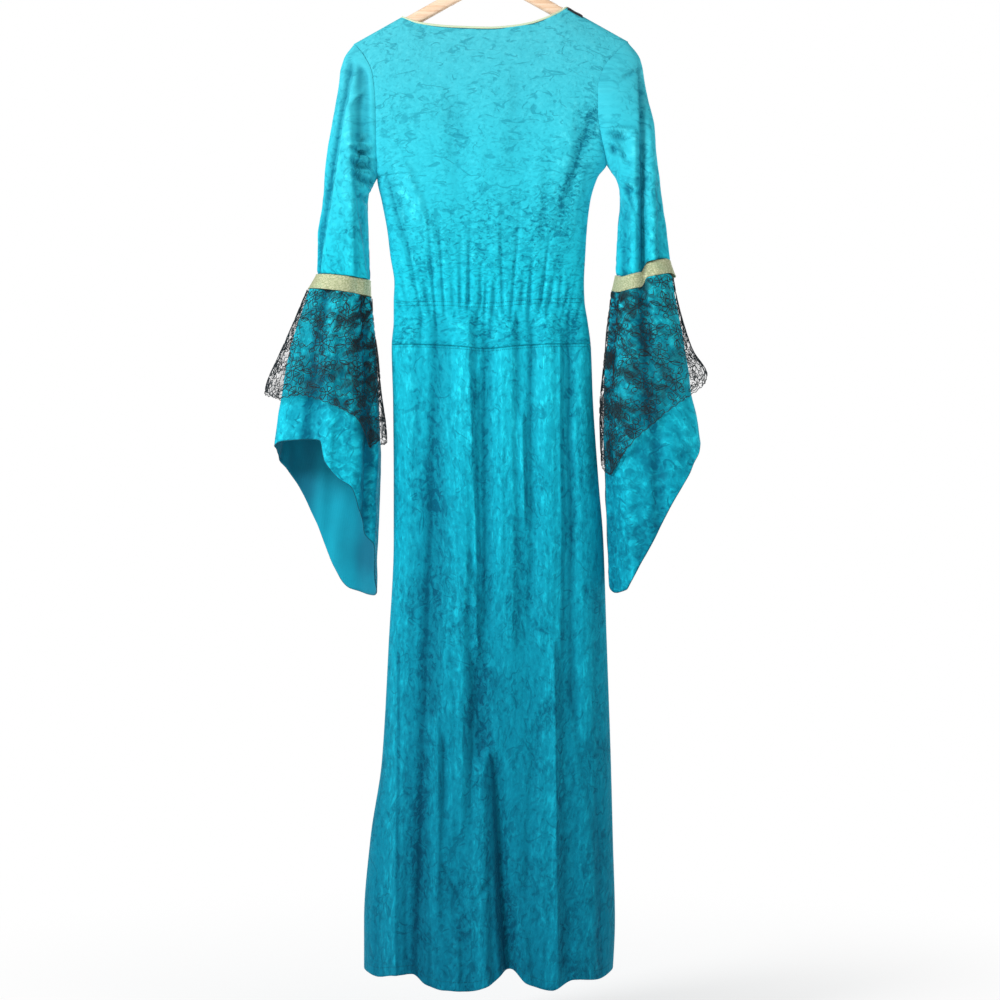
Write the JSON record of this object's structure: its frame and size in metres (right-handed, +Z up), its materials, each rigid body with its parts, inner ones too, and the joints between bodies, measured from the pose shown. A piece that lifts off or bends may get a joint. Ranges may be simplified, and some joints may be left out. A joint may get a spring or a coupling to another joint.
{
  "type": "medieval gown on a hanger",
  "caption": "Long velvet gown with open bell sleeves, lace flounces and gold bands, hanging from a wooden hanger by its hook.",
  "frame": {"origin": "the inner crown of the hanger's hook, where a rail holds it", "axes": "+Z up, along the gown's length; +X towards the wearer's right; +Y towards the gown's front, so its back faces -Y"},
  "size_m": [0.6379, 0.1714, 1.5416],
  "materials": {
    "velvet_light": "crushed velvet with a pale sheen",
    "velvet_deep": "crushed velvet in deep folds",
    "gold_band": "pale gold woven ribbon",
    "black_lace": "corded floral lace",
    "black_ribbon": "narrow satin ribbon",
    "hanger_wood": "pale varnished wood",
    "hook_steel": "plated wire"
  },
  "bodies": {
    "root": {"back_bodice": "velvet_light", "front_bodice": "velvet_light", "back_skirt": "velvet_deep", "front_skirt": "velvet_deep", "sleeve_left": "velvet_light", "sleeve_right": "velvet_light", "band_left": "gold_band", "band_right": "gold_band", "flounce_left": "velvet_deep", "flounce_right": "velvet_deep", "lace_left_back": "black_lace", "lace_left_front": "black_lace", "lace_right_back": "black_lace", "lace_right_front": "black_lace", "neck_binding_back": "gold_band", "neck_binding_front": "gold_band", "ribbon_loop": "black_ribbon", "hanger": "hanger_wood", "hook": "hook_steel"}
  },
  "joints": []
}
